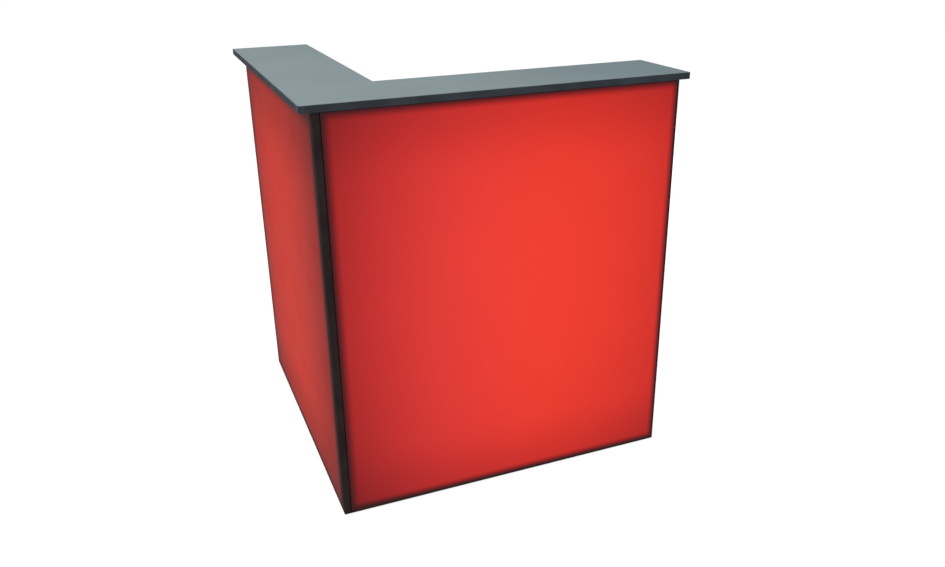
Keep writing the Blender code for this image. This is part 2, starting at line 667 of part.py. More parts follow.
# Leads follow points chosen by hand from one terminal to the next.
def make_leads(inlet_back):
    driver_mid = REAR_INSIDE - GAP - DRIVER_SIZE[1] / 2
    control_mid = REAR_INSIDE - GAP - CONTROLLER_SIZE[1] / 2
    driver_high = DRIVER_LOW + DRIVER_SIZE[2]
    controller_high = CONTROLLER_LOW + CONTROLLER_SIZE[2]
    lying = BASE_TOP + GAP + SMALL_LEAD_RADIUS
    mains_low = BASE_TOP + GAP + MAINS_LEAD_RADIUS
    run = CHANNEL_INWARD - LEAD_STAND_OFF
    left_exit = CONTROLLER_ALONG - CONTROLLER_SIZE[0] / 4
    right_exit = CONTROLLER_ALONG + CONTROLLER_SIZE[0] / 4
    inlet_rear = inlet_back - GAP

    lead("mains_lead", [
        FRONT.at(INLET_ALONG, inlet_rear, INLET_HEIGHT),
        FRONT.at(INLET_ALONG, inlet_rear - 0.010, INLET_HEIGHT - 0.001),
        FRONT.at(INLET_ALONG + 0.006, inlet_rear - 0.019, INLET_HEIGHT - 0.016),
        FRONT.at(INLET_ALONG + 0.020, inlet_rear - 0.018, INLET_HEIGHT - 0.055),
        FRONT.at(INLET_ALONG + 0.050, driver_mid, mains_low + 0.014),
        FRONT.at(INLET_ALONG + 0.085, driver_mid, mains_low + 0.006),
        FRONT.at(DRIVER_ALONG - 0.014, driver_mid, mains_low + 0.018),
        FRONT.at(DRIVER_ALONG, driver_mid, DRIVER_LOW - 0.020),
        FRONT.at(DRIVER_ALONG, driver_mid, DRIVER_LOW - GAP)], MAINS_LEAD_RADIUS)
    lead("driver_lead", [
        FRONT.at(DRIVER_ALONG, driver_mid, driver_high + GAP),
        FRONT.at(DRIVER_ALONG, driver_mid, driver_high + 0.014),
        FRONT.at(DRIVER_ALONG + 0.012, driver_mid + 0.002, driver_high + 0.036),
        FRONT.at(DRIVER_ALONG + 0.045, control_mid - 0.002, driver_high + 0.046),
        FRONT.at(CONTROLLER_ALONG - 0.016, control_mid, driver_high + 0.030),
        FRONT.at(CONTROLLER_ALONG, control_mid, controller_high + 0.030),
        FRONT.at(CONTROLLER_ALONG, control_mid, controller_high + GAP)], SMALL_LEAD_RADIUS)

    down = (0.016, 0.050, 0.090)
    # How far before a strip, and how high: the lead climbs to the strip's foot.
    climb = ((0.080, 0), (0.045, 0), (0.028, 0.0008), (0.014, 0.004), (0.004, 0.012), (0, 0.024),
             (0, 0.034))
    lead("right_strip_lead", [
        FRONT.at(right_exit, control_mid, CONTROLLER_LOW - GAP),
        *[FRONT.at(right_exit, control_mid, CONTROLLER_LOW - drop) for drop in down],
        FRONT.at(right_exit + 0.010, control_mid - 0.003, lying + 0.016),
        FRONT.at(right_exit + 0.030, control_mid - 0.012, lying + 0.003),
        FRONT.at(right_exit + 0.055, control_mid - 0.028, lying),
        FRONT.at(right_exit + 0.085, run + 0.003, lying),
        FRONT.at(right_exit + 0.120, run, lying),
        *[FRONT.at(FRONT_CHANNELS[-1] - before, run, lying + rise) for before, rise in climb]],
         SMALL_LEAD_RADIUS)
    lead("left_strip_lead", [
        FRONT.at(left_exit, control_mid, CONTROLLER_LOW - GAP),
        *[FRONT.at(left_exit, control_mid, CONTROLLER_LOW - drop) for drop in down],
        FRONT.at(left_exit - 0.010, control_mid - 0.003, lying + 0.016),
        FRONT.at(left_exit - 0.030, control_mid - 0.012, lying + 0.003),
        FRONT.at(left_exit - 0.055, control_mid - 0.028, lying),
        FRONT.at(left_exit - 0.085, run + 0.003, lying),
        FRONT.at(left_exit - 0.120, run, lying),
        FRONT.at(run + 0.060, run, lying),
        FRONT.at(run + 0.018, run + 0.003, lying),
        SIDE.at(run + 0.018, run + 0.003, lying),
        SIDE.at(run + 0.060, run, lying),
        *[SIDE.at(SIDE_CHANNELS[-1] - before, run, lying + rise) for before, rise in climb]],
         SMALL_LEAD_RADIUS)


def main():
    make_worktop()
    panel_spaces = [panel_space(wing) for wing in (FRONT, SIDE)]
    post_rooms = make_posts(panel_spaces)
    cutters = panel_spaces + post_rooms
    make_frame(FRONT, 0, cutters, make_channels(FRONT, FRONT_CHANNELS))
    make_frame(SIDE, REAR_INSIDE, cutters, make_channels(SIDE, SIDE_CHANNELS))
    make_glides()
    rear_panel = make_rear_walls()
    inlet_back = make_inlet(rear_panel)
    switch_pivot = make_rocker()
    make_electrics()
    make_leads(inlet_back)

    door = make_door()
    door_leaves = make_hinges()
    housing, knob, cam, latch_centre = make_latch()
    axis_along, axis_inward = hinge_axis()
    door_pivot = FRONT.at(axis_along, axis_inward, 0)
    latch = joint_empty("latch_pivot", latch_centre, [knob, cam])
    joint_empty("door_pivot", door_pivot, [door, *door_leaves, housing, latch])
    for name, place in (("door hinge", door_pivot), ("latch", latch_centre),
                        ("switch", switch_pivot)):
        print(f"{name} axis passes through", [round(value, 5) for value in place])


main()
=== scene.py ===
import json
import math

import bmesh
import bpy
from mathutils import Matrix, Vector

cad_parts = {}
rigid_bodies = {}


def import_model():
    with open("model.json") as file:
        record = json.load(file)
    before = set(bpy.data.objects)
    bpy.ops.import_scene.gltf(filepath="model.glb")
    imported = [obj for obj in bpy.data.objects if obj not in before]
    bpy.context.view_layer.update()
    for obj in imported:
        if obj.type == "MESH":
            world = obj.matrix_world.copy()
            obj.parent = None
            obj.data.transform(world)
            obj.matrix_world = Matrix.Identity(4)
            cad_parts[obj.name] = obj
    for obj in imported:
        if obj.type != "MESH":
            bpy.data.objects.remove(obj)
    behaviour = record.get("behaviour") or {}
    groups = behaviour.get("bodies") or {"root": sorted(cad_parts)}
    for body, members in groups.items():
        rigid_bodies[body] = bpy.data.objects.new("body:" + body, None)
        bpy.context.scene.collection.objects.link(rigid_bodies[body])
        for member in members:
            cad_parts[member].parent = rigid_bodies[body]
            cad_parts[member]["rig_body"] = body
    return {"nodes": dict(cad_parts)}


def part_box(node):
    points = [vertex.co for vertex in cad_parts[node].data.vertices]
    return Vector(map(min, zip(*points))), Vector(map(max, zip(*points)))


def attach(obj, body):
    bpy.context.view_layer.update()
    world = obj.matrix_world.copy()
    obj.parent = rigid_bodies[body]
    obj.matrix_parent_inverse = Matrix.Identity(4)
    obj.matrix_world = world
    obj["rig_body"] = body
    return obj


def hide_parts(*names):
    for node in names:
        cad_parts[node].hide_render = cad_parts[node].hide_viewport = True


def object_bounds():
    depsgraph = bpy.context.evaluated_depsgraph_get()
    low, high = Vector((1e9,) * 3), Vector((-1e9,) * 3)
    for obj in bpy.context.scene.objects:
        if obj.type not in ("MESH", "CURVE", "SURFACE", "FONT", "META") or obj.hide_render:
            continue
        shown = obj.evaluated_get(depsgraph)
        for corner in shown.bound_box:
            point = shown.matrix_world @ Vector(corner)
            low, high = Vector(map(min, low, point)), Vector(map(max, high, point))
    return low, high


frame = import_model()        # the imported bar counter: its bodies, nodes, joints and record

# Metres, +Z up. The front wing faces -Y, the side wing faces -X, the staff stand at +X +Y.
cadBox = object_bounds()
nodes = frame["nodes"]
scene = bpy.context.scene
print("frame loaded:", len(nodes), "nodes")


# One socket of a node tree. Sums written with it add Math nodes to the tree.
class Wire:
    def __init__(self, tree, socket):
        self.tree = tree
        self.socket = socket

    def math(self, operation, *values):
        return self.tree.node("ShaderNodeMath", {"operation": operation}, dict(enumerate(values)))

    def __add__(self, other):
        return self.math("ADD", self, other)

    def __sub__(self, other):
        return self.math("SUBTRACT", self, other)

    def __rsub__(self, other):
        return self.math("SUBTRACT", other, self)

    def __mul__(self, other):
        return self.math("MULTIPLY", self, other)

    def __truediv__(self, other):
        return self.math("DIVIDE", self, other)

    def __gt__(self, other):
        return self.math("GREATER_THAN", self, other)

    def __lt__(self, other):
        return self.math("LESS_THAN", self, other)

    __radd__ = __add__
    __rmul__ = __mul__

    def rise(self, low, high):  # 0 up to low, 1 from high, an easy slope between
        return self.tree.node("ShaderNodeMapRange", {"interpolation_type": "SMOOTHSTEP"},
                              {"Value": self, "From Min": low, "From Max": high})


# A node tree, with one way to add any node: its kind, its settings, then its sockets.
class Tree:
    def __init__(self, tree):
        self.tree = tree

    def join(self, value, socket):
        if isinstance(value, Wire):
            self.tree.links.new(value.socket, socket)
        else:
            socket.default_value = value

    def node(self, kind, settings=None, inputs=None, output=0):
        made = self.tree.nodes.new(kind)
        for name, value in (settings or {}).items():
            setattr(made, name, value)
        for name, value in (inputs or {}).items():
            self.join(value, made.inputs[name])
        return Wire(self, made.outputs[output]) if made.outputs else None


# A finish, read in the object's own coordinates, which are the room's for every piece here.
class Finish(Tree):
    def __init__(self, name):
        self.material = bpy.data.materials.new(name)
        self.material.use_nodes = True
        super().__init__(self.material.node_tree)
        self.tree.nodes.clear()
        self.place = self.node("ShaderNodeTexCoord", output="Object")
        axes = self.node("ShaderNodeSeparateXYZ", inputs={0: self.place}).socket.node
        self.x, self.y, self.z = (Wire(self, socket) for socket in axes.outputs)

    def noise(self, size, detail, stretch=None):  # size of its blotches in metres
        at = self.place
        if stretch:
            at = self.node("ShaderNodeMapping", inputs={"Vector": at, "Scale": stretch})
        return self.node("ShaderNodeTexNoise",
                         inputs={"Vector": at, "Scale": 1 / size, "Detail": detail})

    def mix(self, share, first, second):
        colours = [c if isinstance(c, Wire) else (*c, 1) for c in (first, second)]
        return self.node("ShaderNodeMix", {"data_type": "RGBA"},
                         {0: share, 6: colours[0], 7: colours[1]}, output=2)

    def clouded(self, cloud, colour, clear, full):  # a share of its colour clear of the cloud
        return self.mix(cloud, shade(colour, clear), shade(colour, full))

    def bump(self, height, depth):
        return self.node("ShaderNodeBump", inputs={"Height": height, "Distance": depth})

    def wornEdge(self, radius):  # 1 on edges and corners, 0 on flat ground
        rounded = self.node("ShaderNodeBevel", {"samples": 6}, {"Radius": radius})
        flat = self.node("ShaderNodeNewGeometry", output="Normal")
        match = self.node("ShaderNodeVectorMath", {"operation": "DOT_PRODUCT"},
                          {0: rounded, 1: flat}, output="Value")
        return (1 - match).rise(0.01, 0.12)

    def within(self, low, high):  # 1 between two corners of a box
        inside = 1.0
        for axis, first, last in zip((self.x, self.y, self.z), low, high):
            inside = (axis > first) * (axis < last) * inside
        return inside

    def surface(self, values):
        plain = {name: (*value, 1) if isinstance(value, tuple) else value
                 for name, value in values.items()}
        shader = self.node("ShaderNodeBsdfPrincipled", inputs=plain)
        self.node("ShaderNodeOutputMaterial", inputs={"Surface": shader})
        return self.material


def shade(colour, share):
    return tuple(channel * share for channel in colour)


# The hollow behind the lit faces, as one box in each wing. It ends a lining's depth
# behind the panels, so that the grooves round them stay black.
liningLook = {"white": (0.78, 0.77, 0.75), "behindPanel": 0.0015, "skin": 0.00015}


def hollow():
    skin = liningLook["skin"]
    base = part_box("front_base_board")[1].z - skin
    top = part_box("front_top_board")[0].z + skin
    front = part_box("front_lit_panel")[1].y + liningLook["behindPanel"]
    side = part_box("side_lit_panel")[1].x + liningLook["behindPanel"]
    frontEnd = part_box("front_gable")[0].x + skin
    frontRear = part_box("front_rear_panel")[0].y + skin
    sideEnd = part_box("side_gable")[0].y + skin
    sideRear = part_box("side_rear_panel")[0].x + skin
    return (((side, front, base), (frontEnd, frontRear, top)),
            ((side, front, base), (sideRear, sideEnd, top)))


def lined(finish):
    inside = 0.0
    for low, high in hollow():
        inside = finish.within(low, high) + inside
    return inside > 0.5


# Black faced board, white where it lines the hollow so that the light spreads. The sizes of
# its grain, clouds and scuffs, the height that dust reaches and its worn arris are in metres.
boardLook = {
    "black": (0.0105, 0.0095, 0.0098),
    "dust": (0.050, 0.047, 0.045),
    "worn": (0.055, 0.051, 0.049),
    "roughness": 0.46,
    "sheen": 0.11,
    "sheenRoughness": 0.38,
    "grain": 0.0011,
    "grainDepth": 0.00004,
    "cloud": 0.16,
    "scuff": 0.012,
    "dustHeight": 0.09,
    "arris": 0.0008,
}


def boardFinish():
    look = boardLook
    finish = Finish("blackBoard")
    grain = finish.noise(look["grain"], 3)
    cloud = finish.noise(look["cloud"], 4)
    scuffs = finish.noise(look["scuff"], 5, (1, 1, 0.35)).rise(0.58, 0.78)
    nearFloor = 1 - finish.z.rise(0.0, look["dustHeight"])
    worn = finish.wornEdge(look["arris"]) * grain.rise(0.35, 0.6)
    tone = finish.clouded(cloud.rise(0.30, 0.70), look["black"], 0.92, 1.12)
    tone = finish.mix(nearFloor * cloud * 0.45, tone, look["dust"])
    tone = finish.mix(worn * 0.4, tone, look["worn"])
    return finish.surface({
        "Base Color": finish.mix(lined(finish), tone, liningLook["white"]),
        "Roughness": look["roughness"] + (cloud - 0.5) * 0.06 + scuffs * 0.04 + nearFloor * 0.08,
        "Specular IOR Level": 0.0,
        "Coat Weight": look["sheen"] + (cloud - 0.5) * 0.03 - scuffs * 0.015,
        "Coat Roughness": look["sheenRoughness"],
        "Normal": finish.bump(grain, look["grainDepth"]),
    })


# The outer post is smoother than the boards, with a slow ripple along it.
postLook = {
    "black": (0.0205, 0.0155, 0.0150),
    "roughness": 0.34,
    "sheen": 0.030,
    "sheenRoughness": 0.22,
    "ripple": 0.012,
    "rippleDepth": 0.00003,
    "cloud": 0.10,
    "arris": 0.0012,
    "wear": 0.004,
}


def postFinish():
    look = postLook
    finish = Finish("blackPost")
    ripple = finish.noise(look["ripple"], 2, (1, 1, 0.25))
    cloud = finish.noise(look["cloud"], 4)
    worn = finish.wornEdge(look["arris"]) * finish.noise(look["wear"], 4).rise(0.4, 0.62)
    tone = finish.clouded(cloud.rise(0.35, 0.65), look["black"], 0.85, 1.2)
    tone = finish.mix(worn * 0.2, tone, boardLook["worn"])
    return finish.surface({
        "Base Color": finish.mix(lined(finish), tone, liningLook["white"]),
        "Roughness": look["roughness"] + (cloud - 0.5) * 0.14,
        "Specular IOR Level": 0.0,
        "Coat Weight": look["sheen"],
        "Coat Roughness": look["sheenRoughness"],
        "Normal": finish.bump(ripple, look["rippleDepth"]),
    })


# Blue-grey textured laminate on the worktop; painted shade makes it a little darker
# towards the front wing's end.
laminateLook = {
    "colour": (0.219, 0.280, 0.295),
    # painted shade: the colour the laminate falls to towards the front wing's end
    "paintedShade": (0.164, 0.234, 0.257),
    "paintedShadeFrom": (-0.15, 0.52),        # along X
    "speckle": (0.35, 0.40, 0.42),
    "shadow": (0.10, 0.12, 0.13),
    "scratch": (0.34, 0.39, 0.41),
    "roughness": 0.42,
    "sheen": 0.20,
    "sheenRoughness": 0.36,
    "pebble": 0.0013,
    "pebbleDepth": 0.00005,
    "speckleSize": 0.0024,
    "cloudSize": 0.22,
    "scratchSize": 0.010,
    "patchSize": 0.09,
}


def laminateFinish():
    look = laminateLook
    finish = Finish("greyLaminate")
    pebble = finish.noise(look["pebble"], 3)
    speckle = finish.noise(look["speckleSize"], 4).rise(0.30, 0.70)
    cloud = finish.noise(look["cloudSize"], 3).rise(0.30, 0.70)
    scratches = finish.noise(look["scratchSize"], 6, (1, 0.05, 1)).rise(0.66, 0.72)
    rubbedAndHighlight = finish.noise(look["patchSize"], 2).rise(0.52, 0.70)
    # painted shade: darker along X towards the front wing's end
    tone = finish.mix(finish.x.rise(*look["paintedShadeFrom"]), look["colour"], look["paintedShade"])
    tone = finish.mix(speckle * 0.14, tone, look["speckle"])
    tone = finish.mix(cloud * 0.10, tone, look["shadow"])
    tone = finish.mix(scratches * rubbedAndHighlight * 0.25, tone, look["scratch"])
    return finish.surface({
        "Base Color": tone,
        "Roughness": look["roughness"] + (pebble - 0.5) * 0.12 + rubbedAndHighlight * 0.04,
        "Specular IOR Level": 0.0,
        "Coat Weight": look["sheen"] - rubbedAndHighlight * 0.03,
        "Coat Roughness": look["sheenRoughness"],
        "Normal": finish.bump(pebble, look["pebbleDepth"]),
    })


# Dark plastic edging, lighter along its upper arris between two depths below the top:
# a painted highlight where the arris catches the light.
edgingLook = {
    "colour": (0.029, 0.035, 0.043),
    # the painted highlight's colour on the upper arris
    "rubbedAndHighlight": (0.22, 0.27, 0.29),
    "highlightDepths": (0.0009, 0.0003),
    "roughness": 0.36,
    "sheen": 0.08,
    "sheenRoughness": 0.30,
    "grain": 0.0009,
    "grainDepth": 0.00003,
    "cloud": 0.07,
}


def edgingFinish():
    look = edgingLook
    finish = Finish("darkEdging")
    grain = finish.noise(look["grain"], 3)
    cloud = finish.noise(look["cloud"], 4)
    upper = finish.z.rise(*(cadBox[1].z - depth for depth in look["highlightDepths"]))
    tone = finish.clouded(cloud.rise(0.3, 0.7), look["colour"], 0.85, 1.2)
    # painted highlight along the upper arris, broken up a little by the cloud
    tone = finish.mix(upper * (0.55 + cloud * 0.5), tone, look["rubbedAndHighlight"])
    return finish.surface({
        "Base Color": tone,
        "Roughness": look["roughness"] + (cloud - 0.5) * 0.12,
        "Specular IOR Level": 0.0,
        "Coat Weight": look["sheen"],
        "Coat Roughness": look["sheenRoughness"],
        "Normal": finish.bump(grain, look["grainDepth"]),
    })


# Opal acrylic, lit from behind. Each edge has where its soft fade starts and ends, the
# glow is brightest at a centre and gone at a reach from it, and a dip makes the panel duller
# near its top and its foot. From the post to the end it turns from pinker to redder, and
# where it is dull its red is deeper. The pinker tint is a painted reflection of the room in
# its gloss. The foot's fade is a little higher beside the post.
glow = {
    "front": {
        "near": (0.84, 0.056, 0.049), "far": (0.84, 0.045, 0.026),
        "deep": (0.84, 0.016, 0.020), "dim": (0.012, 0.009, 0.011),
        "post": (-0.003, 0.028), "end": (-0.005, 0.020),
        "bottom": (-0.001, 0.025), "top": (-0.003, 0.026),
        "centre": (0.58, 0.60), "reach": (0.770, 1.41),
        "dip": 0.21, "topDip": 0.20, "bottomDip": 0.20, "cornerFade": 0.0040, "gloss": 0.100,
    },
    "side": {
        "near": (0.53, 0.032, 0.020), "far": (0.53, 0.021, 0.008),
        "deep": (0.53, 0.010, 0.004), "dim": (0.020, 0.006, 0.005),
        "post": (0.0, 0.034), "end": (-0.004, 0.065),
        "bottom": (0.0, 0.032), "top": (0.010, 0.052),
        "centre": (0.54, 0.56), "reach": (0.68, 2.5),
        "dip": 0.40, "topDip": 0.28, "bottomDip": 0.24, "cornerFade": 0.0010, "gloss": 0.080,
    },
}

# The acrylic itself, with its gloss, and the sizes of what varies over it
acrylicLook = {
    "unlit": (0.035, 0.0015, 0.0012),
    "roughness": 0.40,
    "glossRoughness": 0.06,
    "glossIor": 1.49,
    "mottle": 0.18,
    "smudge": 0.12,
    "cornerReach": 0.25,    # how far from the post the foot's fade is raised
    "redderBy": 0.7,        # the share of the length over which its red turns
}


def panelFinish(wing, node):
    look = glow[wing]
    finish = Finish(wing + "RedAcrylic")
    low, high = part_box(node)
    length = (high - low).x if wing == "front" else (high - low).y
    fromPost = finish.x - low.x if wing == "front" else finish.y - low.y
    fromEnd = length - fromPost
    raised = (1 - fromPost.rise(0, acrylicLook["cornerReach"])) * look["cornerFade"]
    fromBottom = finish.z - low.z - raised
    fromTop = high.z - finish.z
    edges = fromPost.rise(*look["post"]) * fromEnd.rise(*look["end"])
    edges = edges * fromBottom.rise(*look["bottom"]) * fromTop.rise(*look["top"])
    along = (fromPost - look["centre"][0]) / look["reach"][0]
    up = (fromBottom - look["centre"][1]) / look["reach"][1]
    broad = 1 - along * along - up * up
    dips = (1 - fromTop.rise(0, look["topDip"])) + (1 - fromBottom.rise(0, look["bottomDip"]))
    mottle = finish.noise(acrylicLook["mottle"], 2)
    smudge = finish.noise(acrylicLook["smudge"], 4).rise(0.45, 0.80)
    light = edges * broad * (1 - dips * look["dip"]) * (1 + (mottle - 0.5) * 0.06)
    # painted reflection: the pinker near colour stands in for the room seen in the gloss
    turning = fromPost.rise(0, acrylicLook["redderBy"] * length)
    bright = finish.mix(turning, look["near"], look["far"])
    bright = finish.mix(light, look["deep"], bright)
    return finish.surface({
        "Base Color": acrylicLook["unlit"],
        "Roughness": acrylicLook["roughness"],
        "Specular IOR Level": 0.0,
        "Coat Weight": look["gloss"] - smudge * 0.02,
        "Coat Roughness": acrylicLook["glossRoughness"],
        "Coat IOR": acrylicLook["glossIor"],
        "Emission Color": finish.mix(light, look["dim"], bright),
        "Emission Strength": 1.0,
    })


# Bare metals, with drawn lines along a stretch, duller patches and arrises rubbed bright.
metalLook = {
    "aluminium": {"colour": (0.72, 0.73, 0.74), "roughness": 0.36, "stretch": (1, 1, 0.01),
                  "dull": 0.94, "rubbedAndHighlight": 0.3},
    "driverCase": {"colour": (0.70, 0.71, 0.72), "roughness": 0.38, "stretch": (1, 1, 0.02),
                   "dull": 0.92, "rubbedAndHighlight": 0.3},
    "zincPlate": {"colour": (0.60, 0.61, 0.62), "roughness": 0.30, "stretch": (1, 1, 1),
                  "dull": 0.88, "rubbedAndHighlight": 0.4},
    "screwSteel": {"colour": (0.46, 0.46, 0.47), "roughness": 0.30, "stretch": (1, 1, 1),
                   "dull": 0.80, "rubbedAndHighlight": 0.0},
    "nickelPlate": {"colour": (0.70, 0.68, 0.62), "roughness": 0.24, "stretch": (1, 0.1, 1),
                    "dull": 0.92, "rubbedAndHighlight": 0.0},
}
metalWear = {"line": 0.0006, "lineDepth": 0.00001, "patch": 0.018, "arris": 0.0005,
             "bright": (0.85, 0.85, 0.86)}


def metalFinish(name):
    look = metalLook[name]
    finish = Finish(name)
    lines = finish.noise(metalWear["line"], 3, look["stretch"])
    dull = finish.noise(metalWear["patch"], 4).rise(0.35, 0.7)
    tone = finish.clouded(dull, look["colour"], 1.0, look["dull"])
    if look["rubbedAndHighlight"]:
        worn = finish.wornEdge(metalWear["arris"]) * look["rubbedAndHighlight"]
        tone = finish.mix(worn, tone, metalWear["bright"])
    return finish.surface({
        "Base Color": tone,
        "Metallic": 1.0,
        "Roughness": look["roughness"] + dull * 0.10 + (lines - 0.5) * 0.12,
        "Normal": finish.bump(lines, metalWear["lineDepth"]),
    })


# Moulded, printed and insulated pieces, with the size of their grain.
plasticLook = {
    "blackPlastic": {"colour": (0.014, 0.014, 0.015), "roughness": 0.38, "grain": 0.0007},
    "whitePlastic": {"colour": (0.74, 0.74, 0.71), "roughness": 0.36, "grain": 0.0009},
    "circuitWhite": {"colour": (0.78, 0.77, 0.73), "roughness": 0.42, "grain": 0.0012},
    "leadCover": {"colour": (0.018, 0.018, 0.020), "roughness": 0.52, "grain": 0.0010},
    "rockerRed": {"colour": (0.50, 0.018, 0.013), "roughness": 0.24, "grain": 0.0020},
    "copperRed": {"colour": (0.55, 0.25, 0.12), "roughness": 0.35, "grain": 0.0006},
    "markWhite": {"colour": (0.80, 0.79, 0.77), "roughness": 0.45, "grain": 0.0010},
    "wireGreen": {"colour": (0.03, 0.26, 0.05), "roughness": 0.40, "grain": 0.0010},
    "wireBlue": {"colour": (0.02, 0.06, 0.38), "roughness": 0.40, "grain": 0.0010},
}
plasticWear = {"cloud": 0.02, "grainDepth": 0.00002, "arris": 0.0004, "worn": (0.30, 0.30, 0.30)}


def plasticFinish(name):
    look = plasticLook[name]
    finish = Finish(name)
    grain = finish.noise(look["grain"], 3)
    cloud = finish.noise(plasticWear["cloud"], 4).rise(0.3, 0.7)
    tone = finish.clouded(cloud, look["colour"], 0.92, 1.06)
    tone = finish.mix(finish.wornEdge(plasticWear["arris"]) * 0.12, tone, plasticWear["worn"])
    return finish.surface({
        "Base Color": tone,
        "Roughness": look["roughness"] + (grain - 0.5) * 0.16,
        "Specular IOR Level": 0.4,
        "Normal": finish.bump(grain, plasticWear["grainDepth"]),
    })


# The clear tops of the chips, which glow over their yellow filling.
chipGlow = {"colour": (1.0, 0.050, 0.022), "strength": 5.0, "cloud": 0.004,
            "filling": ((0.70, 0.55, 0.20), (0.80, 0.66, 0.30)), "roughness": 0.3}


def chipFinish():
    look = chipGlow
    finish = Finish("chipGlow")
    cloud = finish.noise(look["cloud"], 2)
    return finish.surface({
        "Base Color": finish.mix(cloud, *look["filling"]),
        "Roughness": look["roughness"],
        "Emission Color": finish.clouded(cloud, look["colour"], 1.0, 0.8),
        "Emission Strength": look["strength"],
    })


finishes = {
    "board": boardFinish(),
    "post": postFinish(),
    "laminate": laminateFinish(),
    "edging": edgingFinish(),
    "frontPanel": panelFinish("front", "front_lit_panel"),
    "sidePanel": panelFinish("side", "side_lit_panel"),
    "chip": chipFinish(),
}
finishes.update({name: metalFinish(name) for name in metalLook})
finishes.update({name: plasticFinish(name) for name in plasticLook})

# Which nodes take which finish, by how their names start. The longest start that fits wins.
nodeFinishes = {
    "worktop": "laminate",
    "worktop_edging": "edging",
    "corner_post": "post",
    "inner_post": "board",
    "front_": "board",
    "side_": "board",
    "stile": "board",
    "service_door": "board",
    "front_lit_panel": "frontPanel",
    "side_lit_panel": "sidePanel",
    "glide_": "blackPlastic",
    "led_channel": "aluminium",
    "led_strip": "circuitWhite",
    "led_driver": "driverCase",
    "colour_controller": "whitePlastic",
    "mains_lead": "leadCover",
    "driver_lead": "leadCover",
    "right_strip_lead": "leadCover",
    "left_strip_lead": "leadCover",
    "power_inlet": "blackPlastic",
    "inlet_blade": "nickelPlate",
    "switch_rocker": "rockerRed",
    "lower_hinge": "zincPlate",
    "upper_hinge": "zincPlate",
    "latch_": "zincPlate",
}
for name, node in nodes.items():
    longest = max((start for start in nodeFinishes if name.startswith(start)), key=len)
    node.data.materials.clear()
    node.data.materials.append(finishes[nodeFinishes[longest]])
print("finishes set:", len(finishes))


# A new piece, in its place in the room, riding on a body of the counter.
def addPiece(name, mesh, body, finish=None):
    made = bpy.data.objects.new(name, mesh)
    scene.collection.objects.link(made)
    if finish:
        mesh.materials.clear()
        mesh.materials.append(finishes[finish])
    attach(made, body)
    return made


def smooth(mesh, sharpFrom=38):  # edges that turn by more degrees stay sharp
    mesh.shade_smooth()
    mesh.set_sharp_from_angle(angle=math.radians(sharpFrom))
    return mesh


def meshOf(shape, name):
    bmesh.ops.recalc_face_normals(shape, faces=shape.faces)
    mesh = bpy.data.meshes.new(name)
    shape.to_mesh(mesh)
    shape.free()
    return smooth(mesh)


# The mesh that an object has once its modifiers are worked out.
def plainMesh(source, name):
    graph = bpy.context.evaluated_depsgraph_get()
    mesh = bpy.data.meshes.new_from_object(source.evaluated_get(graph))
    mesh.name = name
    return mesh


# Turned about Z from (radius, height) pairs that start and end on the axis.
def turned(profile, sides):
    shape = bmesh.new()
    rings = []
    for radius, height in profile:
        turns = [index * math.tau / sides for index in range(sides if radius else 1)]
        rings.append([shape.verts.new((radius * math.cos(t), radius * math.sin(t), height))
                      for t in turns])
    for lower, upper in zip(rings, rings[1:]):
        for index in range(sides):
            after = (index + 1) % sides
            corners = [lower[index % len(lower)], lower[after % len(lower)],
                       upper[after % len(upper)], upper[index % len(upper)]]
            shape.faces.new(dict.fromkeys(corners))
    return shape


def boxShape(shape, size, centre, bevel):
    matrix = Matrix.Translation(centre) @ Matrix.Diagonal((*size, 1))
    made = bmesh.ops.create_cube(shape, size=1, matrix=matrix)
    if bevel:
        edges = {edge for vert in made["verts"] for edge in vert.link_edges}
        bmesh.ops.bevel(shape, geom=list(edges), offset=bevel, segments=2, profile=0.5,
                        affect="EDGES")


def standing(size, bevel=0.0):  # a box on its foot
    shape = bmesh.new()
    boxShape(shape, size, (0, 0, size[2] / 2), bevel)
    return shape


# A pattern piece that the rows below repeat. It isn't in the scene itself.
def pattern(name, shape):
    return bpy.data.objects.new(name, meshOf(shape, name))


# A pattern piece with the cutters' shape taken out of it.
def withoutCutters(name, body, cutters):
    bodyObject = pattern(name, body)
    scene.collection.objects.link(bodyObject)
    cutterObject = pattern(name + "Cutter", cutters)
    scene.collection.objects.link(cutterObject)
    cut = bodyObject.modifiers.new("cut", "BOOLEAN")
    cut.solver = "EXACT"
    cut.object = cutterObject
    mesh = smooth(plainMesh(bodyObject, name), sharpFrom=30)
    bpy.data.objects.remove(bodyObject)
    bpy.data.objects.remove(cutterObject)
    return bpy.data.objects.new(name, mesh)


